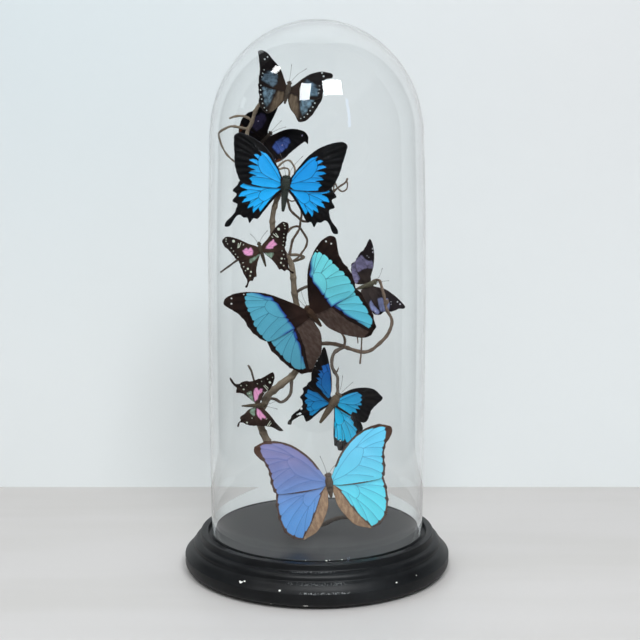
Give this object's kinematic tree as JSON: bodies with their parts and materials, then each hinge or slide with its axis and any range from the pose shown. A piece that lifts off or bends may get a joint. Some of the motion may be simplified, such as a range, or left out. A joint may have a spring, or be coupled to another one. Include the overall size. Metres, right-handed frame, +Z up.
{
  "type": "butterflies in a glass dome",
  "caption": "Dried butterflies mounted on a branching twig under a tall glass dome on a turned, black painted wooden base.",
  "frame": {"origin": "centre of the base's underside", "axes": "+Z up along the dome's axis; the butterflies face -Y"},
  "size_m": [0.249, 0.249, 0.505],
  "materials": {
    "painted_base": "satin black paint, chipped",
    "dome_glass": "clear, polished",
    "bark": "rough dry bark",
    "twig_bark": "fine dry bark",
    "insect_body": "short hair, matt",
    "azure_wing": "iridescent scales, black borders",
    "morpho_wing": "iridescent scales",
    "banded_wing": "iridescent band on brown",
    "violet_wing": "violet patch on black",
    "steel_wing": "steel-blue band on brown",
    "lilac_wing": "lilac patches on brown",
    "pink_wing": "pink and green patches on black"
  },
  "bodies": {
    "root": {"base": "painted_base", "glass_dome": "dome_glass", "stem_lower": "bark", "stem_middle": "bark", "stem_upper": "bark", "root_twig": "twig_bark", "twig_right": "twig_bark", "twig_drop": "twig_bark", "twig_loop": "twig_bark", "twig_short": "twig_bark", "twig_left": "twig_bark", "twig_centre": "twig_bark", "tendril_fork": "twig_bark", "tendril_cross": "twig_bark", "tendril_loop": "twig_bark", "top_butterfly_body": "insect_body", "top_butterfly_right_forewing": "steel_wing", "top_butterfly_right_hindwing": "steel_wing", "top_butterfly_left_forewing": "steel_wing", "top_butterfly_left_hindwing": "steel_wing", "hooked_butterfly_body": "insect_body", "hooked_butterfly_right_forewing": "violet_wing", "hooked_butterfly_right_hindwing": "violet_wing", "hooked_butterfly_left_forewing": "violet_wing", "hooked_butterfly_left_hindwing": "violet_wing", "upper_swallowtail_body": "insect_body", "upper_swallowtail_right_forewing": "azure_wing", "upper_swallowtail_right_hindwing": "azure_wing", "upper_swallowtail_left_forewing": "azure_wing", "upper_swallowtail_left_hindwing": "azure_wing", "upper_pink_swallowtail_body": "insect_body", "upper_pink_swallowtail_right_forewing": "pink_wing", "upper_pink_swallowtail_right_hindwing": "pink_wing", "upper_pink_swallowtail_left_forewing": "pink_wing", "upper_pink_swallowtail_left_hindwing": "pink_wing", "banded_morpho_body": "insect_body", "banded_morpho_right_forewing": "banded_wing", "banded_morpho_right_hindwing": "banded_wing", "banded_morpho_left_forewing": "banded_wing", "banded_morpho_left_hindwing": "banded_wing", "lilac_butterfly_body": "insect_body", "lilac_butterfly_right_forewing": "lilac_wing", "lilac_butterfly_right_hindwing": "lilac_wing", "lilac_butterfly_left_forewing": "lilac_wing", "lilac_butterfly_left_hindwing": "lilac_wing", "lower_pink_swallowtail_body": "insect_body", "lower_pink_swallowtail_right_forewing": "pink_wing", "lower_pink_swallowtail_right_hindwing": "pink_wing", "lower_pink_swallowtail_left_forewing": "pink_wing", "lower_pink_swallowtail_left_hindwing": "pink_wing", "lower_swallowtail_body": "insect_body", "lower_swallowtail_right_forewing": "azure_wing", "lower_swallowtail_right_hindwing": "azure_wing", "lower_swallowtail_left_forewing": "azure_wing", "lower_swallowtail_left_hindwing": "azure_wing", "blue_morpho_body": "insect_body", "blue_morpho_right_forewing": "morpho_wing", "blue_morpho_right_hindwing": "morpho_wing", "blue_morpho_left_forewing": "morpho_wing", "blue_morpho_left_hindwing": "morpho_wing"}
  },
  "joints": []
}
